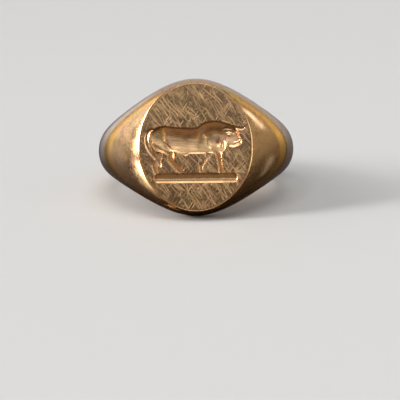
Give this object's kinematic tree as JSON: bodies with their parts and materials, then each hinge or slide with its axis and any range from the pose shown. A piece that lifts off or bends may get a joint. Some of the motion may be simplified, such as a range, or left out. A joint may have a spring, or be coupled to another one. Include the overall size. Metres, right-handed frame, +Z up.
{
  "type": "signet ring",
  "caption": "Solid gold signet ring with a flat oval table engraved in intaglio with a walking bull, tapering shoulders and a plain D-section shank.",
  "frame": {"origin": "on the ground under the middle of the ring's box, with the ring lying on its side as it rests", "axes": "+X to the right of the engraved table, -Y forward where the table faces, +Z up; the finger axis leans 17.5 degrees from +Z, so that the table looks slightly up"},
  "size_m": [0.022, 0.023, 0.0145],
  "materials": {
    "engraved_gold": null,
    "shoulder_gold": null,
    "shank_gold": null,
    "gold_solder": null
  },
  "bodies": {
    "root": {"signet_head": "engraved_gold", "left_shoulder": "shoulder_gold", "right_shoulder": "shoulder_gold", "shank": "shank_gold", "left_head_solder": "gold_solder", "right_head_solder": "gold_solder", "left_shank_solder": "gold_solder", "right_shank_solder": "gold_solder"}
  },
  "joints": []
}
